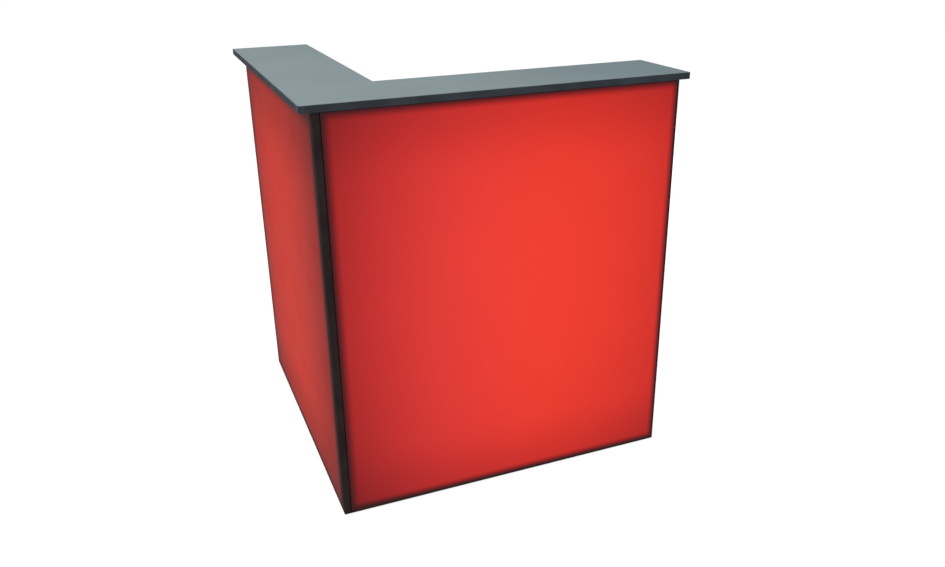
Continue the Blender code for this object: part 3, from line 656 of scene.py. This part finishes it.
# The tree that repeats a pattern piece along each edge of a mesh, evenly, near a spacing.
def rowTree():
    group = bpy.data.node_groups.new("piecesInRows", "GeometryNodeTree")
    kinds = {"Rows": "Geometry", "Piece": "Object", "Spacing": "Float", "Spin": "Float",
             "Seed": "Int", "Finish": "Material"}
    for name, kind in kinds.items():
        group.interface.new_socket(name=name, in_out="INPUT", socket_type="NodeSocket" + kind)
    group.interface.new_socket(name="Pieces", in_out="OUTPUT", socket_type="NodeSocketGeometry")
    tree = Tree(group)
    sockets = group.nodes.new("NodeGroupInput").outputs
    given = {socket.name: Wire(tree, socket) for socket in sockets}
    curve = tree.node("GeometryNodeMeshToCurve", inputs={"Mesh": given["Rows"]})
    length = tree.node("GeometryNodeSplineLength")
    steps = length.math("ROUND", length / given["Spacing"])
    points = tree.node("GeometryNodeResampleCurve", {"mode": "COUNT"},
                       {"Curve": curve, "Count": steps + 1})
    facing = tree.node("GeometryNodeInputNamedAttribute", {"data_type": "FLOAT_VECTOR"},
                       {"Name": "facing"})
    turn = tree.node("FunctionNodeAxesToRotation", {"primary_axis": "Z", "secondary_axis": "Y"},
                     {0: facing, 1: tree.node("GeometryNodeInputTangent")})
    spin = tree.node("FunctionNodeRandomValue", {"data_type": "FLOAT"},
                     {2: 0.0, 3: given["Spin"], "Seed": given["Seed"]}, output=1)
    spun = tree.node("FunctionNodeAxisAngleToRotation", inputs={"Axis": (0, 0, 1), "Angle": spin})
    turn = tree.node("FunctionNodeRotateRotation", {"rotation_space": "LOCAL"}, {0: turn, 1: spun})
    piece = tree.node("GeometryNodeObjectInfo", inputs={"Object": given["Piece"]},
                      output="Geometry")
    placed = tree.node("GeometryNodeInstanceOnPoints",
                       inputs={"Points": points, "Instance": piece, "Rotation": turn})
    real = tree.node("GeometryNodeRealizeInstances", inputs={"Geometry": placed})
    painted = tree.node("GeometryNodeSetMaterial",
                        inputs={"Geometry": real, "Material": given["Finish"]})
    tree.join(painted, group.nodes.new("NodeGroupOutput").inputs[0])
    return group


piecesInRows = rowTree()


# Rows are (start, end, facing). The result is one plain mesh on one body.
def repeatInRows(name, rows, piece, spacing, body, finish, spin=0.0, seed=1):
    base = bpy.data.meshes.new(name + "Rows")
    ends = [end for row in rows for end in row[:2]]
    base.from_pydata(ends, [(2 * index, 2 * index + 1) for index in range(len(rows))], [])
    facing = base.attributes.new("facing", "FLOAT_VECTOR", "POINT")
    for index, row in enumerate(rows):
        facing.data[2 * index].vector = row[2]
        facing.data[2 * index + 1].vector = row[2]
    holder = bpy.data.objects.new(name + "Rows", base)
    scene.collection.objects.link(holder)
    change = holder.modifiers.new("rows", "NODES")
    change.node_group = piecesInRows
    values = {"Piece": piece, "Spacing": spacing, "Spin": spin, "Seed": seed,
              "Finish": finishes[finish]}
    for item in piecesInRows.interface.items_tree:
        if item.in_out == "INPUT" and item.name in values:
            change[item.identifier] = values[item.name]
    mesh = plainMesh(holder, name)
    bpy.data.objects.remove(holder)
    addPiece(name, mesh, body)


# Cross-head screws, each recess with its length, width and depth
screwLook = {
    "hinge": {"radius": 0.0028, "rise": 0.0012, "recess": (0.0032, 0.0008, 0.0011)},
    "panel": {"radius": 0.0040, "rise": 0.0014, "recess": (0.0046, 0.0010, 0.0013)},
    "driver": {"radius": 0.0030, "rise": 0.0016, "recess": (0.0034, 0.0008, 0.0014)},
}


# A cross of one outline, which cuts a recess. It leans in, so that its bottom is narrower.
recessLean = 0.2


def crossShape(size, top):
    shape = bmesh.new()
    length, width, depth = size
    far = length / 2
    near = width / 2
    corners = []
    for quarter in range(4):
        turn = Matrix.Rotation(quarter * math.pi / 2, 2)
        corners += [turn @ Vector(spot) for spot in ((far, -near), (far, near), (near, near))]
    lower, upper = ([shape.verts.new((*(spot * scale), z)) for spot in corners]
                    for z, scale in ((top - depth, 1 - recessLean), (top + depth, 1 + recessLean)))
    shape.faces.new(lower)
    shape.faces.new(upper)
    for index, vert in enumerate(lower):
        before = index - 1
        shape.faces.new((lower[before], vert, upper[index], upper[before]))
    return shape


def screwHead(kind):
    look = screwLook[kind]
    radius = look["radius"]
    rise = look["rise"]
    head = turned([(0, 0), (radius, 0), (radius, 0.25 * rise), (0.93 * radius, 0.55 * rise),
                   (0.70 * radius, 0.85 * rise), (0.40 * radius, rise), (0, rise)], sides=24)
    return withoutCutters(kind + "Screw", head, crossShape(look["recess"], rise))


# Three screws in each leaf, on a face that stands proud of the door
hingeFixing = {"proud": 0.0019, "spacing": 0.020, "fromPin": {"counter": 0.0090, "door": -0.0190}}


def hingeScrews():
    look = hingeFixing
    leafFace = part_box("service_door")[1].y + look["proud"]
    reach = look["spacing"]
    low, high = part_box("lower_hinge_pin")
    axisX = (low.x + high.x) / 2
    for body, across in look["fromPin"].items():
        rows = []
        for hinge in ("lower", "upper"):
            low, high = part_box(hinge + "_hinge_pin")
            middle = (low.z + high.z) / 2
            rows.append(((axisX + across, leafFace, middle - reach),
                         (axisX + across, leafFace, middle + reach), (0, 1, 0)))
        repeatInRows(body + "_hinge_screws", rows, screwHead("hinge"), reach, body,
                     "screwSteel", spin=math.pi, seed=4)


# Rows along the rear panels' upper and lower edges, and a column where one meets the stile
panelFixing = {"spacing": 0.165, "fromEdge": 0.009, "fromCorner": 0.032, "intoStile": 0.0115,
               "columnInset": 0.096}


def rearScrews():
    look = panelFixing
    inset = look["fromCorner"]
    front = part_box("front_rear_panel")
    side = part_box("side_rear_panel")
    frontFace = front[1].y
    sideFace = side[1].x
    low = front[0].z + look["fromEdge"]
    high = front[1].z - look["fromEdge"]
    rows = []
    for z in (low, high):
        rows.append(((front[0].x + inset, frontFace, z), (front[1].x - inset, frontFace, z),
                     (0, 1, 0)))
        rows.append(((sideFace, side[0].y + inset, z), (sideFace, side[1].y - inset, z),
                     (1, 0, 0)))
    column = front[1].x - look["intoStile"]
    rows.append(((column, frontFace, low + look["columnInset"]),
                 (column, frontFace, high - look["columnInset"]), (0, 1, 0)))
    repeatInRows("rear_panel_screws", rows, screwHead("panel"), look["spacing"], "counter",
                 "blackPlastic", spin=math.pi, seed=9)


# Cover caps on the gables, at the heights of the base boards and the top boards
capLook = {"radius": 0.0060, "rise": 0.0007, "inward": (0.045, 0.150)}


def gableCaps():
    look = capLook
    radius = look["radius"]
    rise = look["rise"]
    cap = turned([(0, 0), (radius, 0), (radius, 0.4 * rise), (0.9 * radius, rise),
                  (0, 0.85 * rise)], sides=32)
    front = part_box("front_gable")
    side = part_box("side_gable")
    board = (front[1] - front[0]).x / 2
    near, far = look["inward"]
    rows = []
    for z in (front[0].z + board, front[1].z - board):
        rows.append(((front[1].x, front[0].y + near, z), (front[1].x, front[0].y + far, z),
                     (1, 0, 0)))
        rows.append(((side[0].x + near, side[1].y, z), (side[0].x + far, side[1].y, z),
                     (0, 1, 0)))
    repeatInRows("gable_caps", rows, pattern("cap", cap), far - near, "counter",
                 "blackPlastic")


# The lighting strips: where each has its foot, how it faces, the way across it and its top
def strips():
    places = []
    for name in sorted(nodes):
        if not name.startswith("led_strip_"):
            continue
        low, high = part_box(name)
        middle = (low + high) / 2
        if "front" in name:
            foot, facing, across = (middle.x, low.y, low.z), (0, -1, 0), (1, 0, 0)
        else:
            foot, facing, across = (low.x, middle.y, low.z), (-1, 0, 0), (0, 1, 0)
        places.append((Vector(foot), Vector(facing), Vector(across), high.z))
    return places


# What sits on the strips. Chips stand a pitch apart, and each group of them has a resistor
# and a pad, at a shift across the strip and a lift above the group's first chip.
chipLook = {
    "package": (0.0050, 0.0050, 0.0014),
    "bevel": 0.0004,
    "window": 0.0019,
    "windowDepth": 0.0004,
    "windowRises": (0.00005, 0.00012),      # at its edge and at its centre
    "pitch": 0.0167,
    "resistor": (0.0016, 0.0030, 0.0006),
    "resistorAt": (0.0036, 0.0083),
    "pad": (0.0070, 0.0022, 0.00006),
    "padLift": 0.0250,                      # above the second chip
    "group": 0.0500,
    "fromEnd": 0.0125,
    "clear": 0.00003,
}


def stripRows(shift, lift):
    look = chipLook
    rows = []
    for foot, facing, across, top in strips():
        first = Vector((0, 0, foot.z + look["fromEnd"] + lift))
        start = Vector((*foot.xy, 0)) + across * shift + facing * look["clear"] + first
        end = Vector((*start.xy, top - look["fromEnd"] - look["group"] + lift))
        steps = round((end.z - start.z) / look["group"])
        end.z = start.z + steps * look["group"]
        rows.append((tuple(start), tuple(end), tuple(facing)))
    return rows


def stripDetails():
    look = chipLook
    package = standing(look["package"], look["bevel"])
    top = look["package"][2]
    bottom = top - look["windowDepth"]
    edge, centre = (top + rise for rise in look["windowRises"])
    radius = look["window"]
    window = turned([(0, bottom), (radius, bottom), (radius, edge), (0, centre)], sides=12)
    resistor = standing(look["resistor"])
    pad = standing(look["pad"])
    padAt = (0, look["padLift"] + look["pitch"])
    plan = (
        ("led_packages", package, look["pitch"], (0, 0), "circuitWhite"),
        ("led_windows", window, look["pitch"], (0, 0), "chip"),
        ("led_resistors", resistor, look["group"], look["resistorAt"], "blackPlastic"),
        ("led_pads", pad, look["group"], padAt, "copperRed"),
    )
    for name, shape, spacing, place, finish in plan:
        repeatInRows(name, stripRows(*place), pattern(name + "Pattern", shape), spacing,
                     "counter", finish)


hingeScrews()
rearScrews()
gableCaps()
stripDetails()
print("screws, caps and strip details made")


# A round or bent node, merged and shaded smooth, in the place of its facets. A lead also
# swells a little.
smoothLook = {"merge": 0.000002, "flatDegrees": 0.5, "leadSwell": 0.0001}


def smoothCopy(name, finish, swell=0.0):
    look = smoothLook
    mesh = nodes[name].data.copy()
    shape = bmesh.new()
    shape.from_mesh(mesh)
    bmesh.ops.remove_doubles(shape, verts=shape.verts, dist=look["merge"])
    bmesh.ops.dissolve_limit(shape, angle_limit=math.radians(look["flatDegrees"]),
                             verts=shape.verts, edges=shape.edges)
    if swell:
        shape.normal_update()
        normals = [vert.normal.copy() for vert in shape.verts]
        for vert, normal in zip(shape.verts, normals):
            vert.co += normal * swell
    shape.to_mesh(mesh)
    shape.free()
    smooth(mesh)
    for attribute in list(mesh.attributes):
        if attribute.name == "custom_normal":
            mesh.attributes.remove(attribute)
    body = nodes[name]["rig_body"]
    made = addPiece(name + "_smooth", mesh, body, finish)
    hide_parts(name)


for name in nodes:
    if "hinge" in name or name in ("latch_housing", "latch_knob"):
        smoothCopy(name, "zincPlate")
    elif name.startswith("glide_"):
        smoothCopy(name, "blackPlastic")
    elif name.endswith("_lead"):
        smoothCopy(name, "leadCover", smoothLook["leadSwell"])
print("round pieces smoothed")


# The screw and washer that hold the cam on its spindle, on the inner side of the door
camLook = {"washer": (0.0058, 0.0008), "radius": 0.0042, "rise": 0.0022, "straight": 0.0008,
           "rounding": 0.0003, "recess": (0.0048, 0.0009, 0.0012), "turned": 20}


def camScrew():
    look = camLook
    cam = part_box("latch_cam")
    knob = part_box("latch_knob")
    centre = Vector((((cam[0] + cam[1]) / 2).x, knob[0].y, (knob[0].z + knob[1].z) / 2))
    wide, thick = look["washer"]
    radius = look["radius"]
    top = thick + look["rise"]
    body = turned([(0, 0), (wide, 0), (wide, thick), (radius, thick),
                   (radius, thick + look["straight"]), (0.8 * radius, top - look["rounding"]),
                   (0.45 * radius, top), (0, top)], sides=32)
    made = withoutCutters("cam_screw", body, crossShape(look["recess"], top))
    mesh = made.data
    bpy.data.objects.remove(made)
    turn = Matrix.Rotation(math.radians(90), 4, "X")
    turn = turn @ Matrix.Rotation(math.radians(look["turned"]), 4, "Z")
    mesh.transform(Matrix.Translation(centre) @ turn)
    addPiece("cam_screw", mesh, "latch", "screwSteel")


# The ON and OFF marks, laid on the rocker's two sloping faces
markLook = {"fromPivot": 0.0046, "bar": (0.0008, 0.0032), "ring": (0.0015, 0.00035),
            "thickness": 0.00016, "soughtFrom": 0.02}


def ringShape(radius, width, thickness, sides=32):  # flat, a width either side of its radius
    shape = bmesh.new()
    section = ((radius - width, 0), (radius + width, 0), (radius + width, thickness),
               (radius - width, thickness))
    sections = []
    for index in range(sides):
        turn = index * math.tau / sides
        sections.append([shape.verts.new((r * math.cos(turn), r * math.sin(turn), z))
                         for r, z in section])
    for first, second in zip(sections, sections[1:] + sections[:1]):
        for edge in range(4):
            after = (edge + 1) % 4
            shape.faces.new((first[edge], second[edge], second[after], first[after]))
    return shape


def switchMarks():
    look = markLook
    low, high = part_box("switch_rocker")
    middle = (low + high) / 2
    bar = standing((*look["bar"], look["thickness"]))
    ring = ringShape(*look["ring"], look["thickness"])
    for name, shape, lift in (("on", bar, look["fromPivot"]), ("off", ring, -look["fromPivot"])):
        start = Vector((middle.x, high.y + look["soughtFrom"], middle.z + lift))
        spot, normal = nodes["switch_rocker"].ray_cast(start, Vector((0, -1, 0)))[1:3]
        mesh = meshOf(shape, name + "_mark")
        side = Vector((1, 0, 0))
        turn = Matrix((side, normal.cross(side), normal)).transposed().to_4x4()
        mesh.transform(Matrix.Translation(spot) @ turn)
        addPiece(name + "_mark", mesh, "rocker", "markWhite")


# Screws through the ears of the driver's plate
driverFixing = {"plate": 0.002, "apart": 0.024, "fromEnd": 0.006}


def driverScrews():
    look = driverFixing
    low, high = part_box("led_driver")
    middle = (low.x + high.x) / 2
    face = high.y - look["plate"]
    reach = look["apart"] / 2
    rows = [((middle - reach, face, z), (middle + reach, face, z), (0, -1, 0))
            for z in (low.z + look["fromEnd"], high.z - look["fromEnd"])]
    repeatInRows("driver_screws", rows, screwHead("driver"), look["apart"], "counter",
                 "screwSteel", spin=math.pi, seed=3)


# Saddle clips hold the leads down where they lie on the base boards. In the front wing the
# leads run at one place along Y, in the side wing at one along X, with clips between ends.
clipLook = {
    "bore": 0.00275,
    "leadCentre": 0.0028,
    "wall": 0.0012,
    "width": 0.0070,
    "foot": 0.0060,
    "degreesApart": 15,
    "nail": ((0, 0), (0.0018, 0), (0.0018, 0.0003), (0.0012, 0.0008), (0, 0.0009)),
    "spacing": 0.075,
    "frontRun": -0.3832,
    "frontEnds": ((0.150, 0.265), (-0.140, -0.215), (-0.270, -0.325)),
    "sideRun": -0.3722,
    "sideEnds": ((-0.320, -0.135), (-0.070, 0.185)),
}


def saddle(radius):  # half a turn over the lead
    centre = clipLook["leadCentre"]
    turns = [math.radians(degrees) for degrees in range(0, 181, clipLook["degreesApart"])]
    return [(radius * math.cos(turn), centre + radius * math.sin(turn)) for turn in turns]


def leadClips():
    look = clipLook
    inside = look["bore"]
    wall = look["wall"]
    outside = inside + wall
    foot = outside + look["foot"]
    outline = [(foot, 0), (foot, wall), (outside, wall), *saddle(outside), (-outside, 0),
               (-inside, 0), *reversed(saddle(inside)), (inside, 0)]
    clip = bmesh.new()
    face = clip.faces.new([clip.verts.new((x, -look["width"] / 2, z)) for x, z in outline])
    made = bmesh.ops.extrude_face_region(clip, geom=[face])
    moved = [item for item in made["geom"] if isinstance(item, bmesh.types.BMVert)]
    bmesh.ops.translate(clip, verts=moved, vec=(0, look["width"], 0))
    nail = turned(look["nail"], sides=16)
    bmesh.ops.translate(nail, verts=nail.verts, vec=(outside + look["foot"] / 2, 0, wall))
    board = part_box("front_base_board")[1].z
    rows = [((first, look["frontRun"], board), (last, look["frontRun"], board), (0, 0, 1))
            for first, last in look["frontEnds"]]
    rows += [((look["sideRun"], first, board), (look["sideRun"], last, board), (0, 0, 1))
             for first, last in look["sideEnds"]]
    repeatInRows("lead_clips", rows, pattern("clipPattern", clip), look["spacing"], "counter",
                 "whitePlastic")
    repeatInRows("lead_clip_nails", rows, pattern("nailPattern", nail), look["spacing"],
                 "counter", "zincPlate")


# Round tubes through points, closed at their ends, in one mesh
def tubes(name, routes, radius, merge=0.000001):
    curve = bpy.data.curves.new(name, "CURVE")
    curve.dimensions = "3D"
    curve.bevel_depth = radius
    curve.bevel_resolution = 2
    curve.use_fill_caps = True
    for points in routes:
        line = curve.splines.new("BEZIER")
        line.bezier_points.add(len(points) - 1)
        for spot, point in zip(line.bezier_points, points):
            spot.co = point
            spot.handle_left_type = "AUTO"
            spot.handle_right_type = "AUTO"
    holder = bpy.data.objects.new(name, curve)
    scene.collection.objects.link(holder)
    mesh = plainMesh(holder, name)
    bpy.data.objects.remove(holder)
    shape = bmesh.new()
    shape.from_mesh(mesh)
    bmesh.ops.remove_doubles(shape, verts=shape.verts, dist=merge)
    bmesh.ops.recalc_face_normals(shape, faces=shape.faces)
    shape.to_mesh(mesh)
    shape.free()
    return smooth(mesh)


# Four thin wires go from the nearest lead to pads near the foot of each strip. Where the
# lead lies on the board, they leave from a splice in front of it.
wireLook = {
    "finishes": ("blackPlastic", "rockerRed", "wireGreen", "wireBlue"),
    "radius": 0.00055,
    "apartAtLead": 0.0011,
    "apartAtPads": 0.0020,
    "padHeight": 0.0045,
    "padsAboveLead": 0.006,
    "offStrip": 0.6,            # of the radius
    "archAlong": 0.4,           # of the way
    "archRise": 0.004,
    "archStep": 0.0006,         # more for each further wire
    "bendOut": 0.003,
    "bendRise": 0.0012,
    "lyingBelow": 0.008,
}
spliceLook = {"size": (0.016, 0.0085, 0.0072), "bevel": 0.0010, "forward": 0.0025,
              "sunk": 0.0003, "exit": 0.0045}


def stripWires():
    look = wireLook
    length, depth, height = spliceLook["size"]
    spots = [vertex.co for lead in ("right_strip_lead", "left_strip_lead")
             for vertex in nodes[lead].data.vertices]
    routes = [[] for _ in look["finishes"]]
    splices = bmesh.new()
    for foot, facing, across, _ in strips():
        start = min(spots, key=lambda spot: (spot - foot).length).copy()
        if start.z < foot.z + look["lyingBelow"]:
            start = start + facing * spliceLook["forward"]
            size = (length, depth, height) if across.x else (depth, length, height)
            centre = (start.x, start.y, foot.z - spliceLook["sunk"] + height / 2)
            boxShape(splices, size, centre, spliceLook["bevel"])
            start.z = foot.z + spliceLook["exit"]
        lift = max(look["padHeight"], start.z - foot.z + look["padsAboveLead"])
        pads = foot + Vector((0, 0, lift))
        for index, route in enumerate(routes):
            shift = across * (index - (len(routes) - 1) / 2)
            begin = start + shift * look["apartAtLead"]
            end = pads + shift * look["apartAtPads"] + facing * look["radius"] * look["offStrip"]
            arch = Vector((0, 0, look["archRise"] + look["archStep"] * index))
            out = begin.lerp(end, look["archAlong"]) + arch
            near = end + facing * look["bendOut"] + Vector((0, 0, look["bendRise"]))
            route.append([tuple(point) for point in (begin, out, near, end)])
    addPiece("lead_splices", meshOf(splices, "lead_splices"), "counter",
             "whitePlastic")
    for finish, route in zip(look["finishes"], routes):
        name = "strip_wires_" + finish
        addPiece(name, tubes(name, route, look["radius"]), "counter", finish)


camScrew()
switchMarks()
driverScrews()
leadClips()
stripWires()
print("latch, switch and lead fittings made")


# The outer corner faces the camera, which stands at eye height and is turned a little.
photograph = {
    "place": (-0.892, -2.494, 1.535),
    "heading": 21.72,       # degrees from +Y towards +X
    "pitch": 22.73,         # degrees down
    "roll": -0.81,
    "focalPixels": 871.9,
    "width": 945,
}


def setCamera():
    look = photograph
    lens = bpy.data.cameras.new("camera")
    lens.sensor_width = 36
    lens.lens = look["focalPixels"] / look["width"] * lens.sensor_width
    camera = bpy.data.objects.new("camera", lens)
    scene.collection.objects.link(camera)
    aim = Matrix.Rotation(math.radians(-look["heading"]), 3, "Z")
    aim = aim @ Matrix.Rotation(math.radians(90 - look["pitch"]), 3, "X")
    aim = aim @ Matrix.Rotation(math.radians(look["roll"]), 3, "Z")
    camera.location = look["place"]
    camera.rotation_euler = aim.to_euler()
    scene.camera = camera


studio = {
    "floorSize": 80.0,
    "floorColour": (0.90, 0.90, 0.90),
    "floorGlow": 1.5,
    "glowShare": 0.5,       # enough to lift the floor to white and keep its shadows
    "ambient": 0.56,
    "lamps": {
        "key": {"place": (-3.0, -0.8, 2.8), "aim": (-0.3, -0.2, 1.0), "size": 1.8, "power": 80},
        "fill": {"place": (2.2, -4.2, 2.2), "aim": (0, 0, 0.6), "size": 2.4, "power": 55},
        "back": {"place": (4.2, 2.2, 1.0), "aim": (0, 0, 0.6), "size": 2.4, "power": 80},
    },
}


# 1 for rays from the eye or by way of a mirror or glass, which see a plain white room.
def seenDirectly(tree):
    path = tree.node("ShaderNodeLightPath").socket.node
    seen = [Wire(tree, path.outputs[name]) for name in
            ("Is Camera Ray", "Is Glossy Ray", "Is Transmission Ray")]
    return (seen[0] + seen[1] + seen[2]).rise(0.0, 1.0)


def setStudio():
    look = studio
    shape = bmesh.new()
    bmesh.ops.create_grid(shape, x_segments=1, y_segments=1, size=look["floorSize"] / 2)
    mesh = bpy.data.meshes.new("floor")
    shape.to_mesh(mesh)
    shape.free()
    floor = bpy.data.objects.new("floor", mesh)
    scene.collection.objects.link(floor)

    paint = Finish("paleFloor")
    matt = paint.node("ShaderNodeBsdfDiffuse", inputs={"Color": (*look["floorColour"], 1)})
    white = paint.node("ShaderNodeEmission",
                       inputs={"Color": (1, 1, 1, 1), "Strength": look["floorGlow"]})
    share = seenDirectly(paint) * look["glowShare"]
    both = paint.node("ShaderNodeMixShader", inputs={0: share, 1: matt, 2: white})
    paint.node("ShaderNodeOutputMaterial", inputs={"Surface": both})
    mesh.materials.append(paint.material)

    world = bpy.data.worlds.new("room")
    scene.world = world
    world.use_nodes = True
    tree = Tree(world.node_tree)
    world.node_tree.nodes.clear()
    strength = seenDirectly(tree) * (1 - look["ambient"]) + look["ambient"]
    light = tree.node("ShaderNodeBackground", inputs={"Color": (1, 1, 1, 1), "Strength": strength})
    tree.node("ShaderNodeOutputWorld", inputs={"Surface": light})

    for name, lamp in look["lamps"].items():
        data = bpy.data.lights.new(name, "AREA")
        data.size = lamp["size"]
        data.energy = lamp["power"]
        made = bpy.data.objects.new(name, data)
        scene.collection.objects.link(made)
        made.location = lamp["place"]
        away = Vector(lamp["place"]) - Vector(lamp["aim"])
        made.rotation_euler = away.to_track_quat("Z", "Y").to_euler()
    scene.view_settings.view_transform = "Standard"


setCamera()
setStudio()
print("camera and studio set")
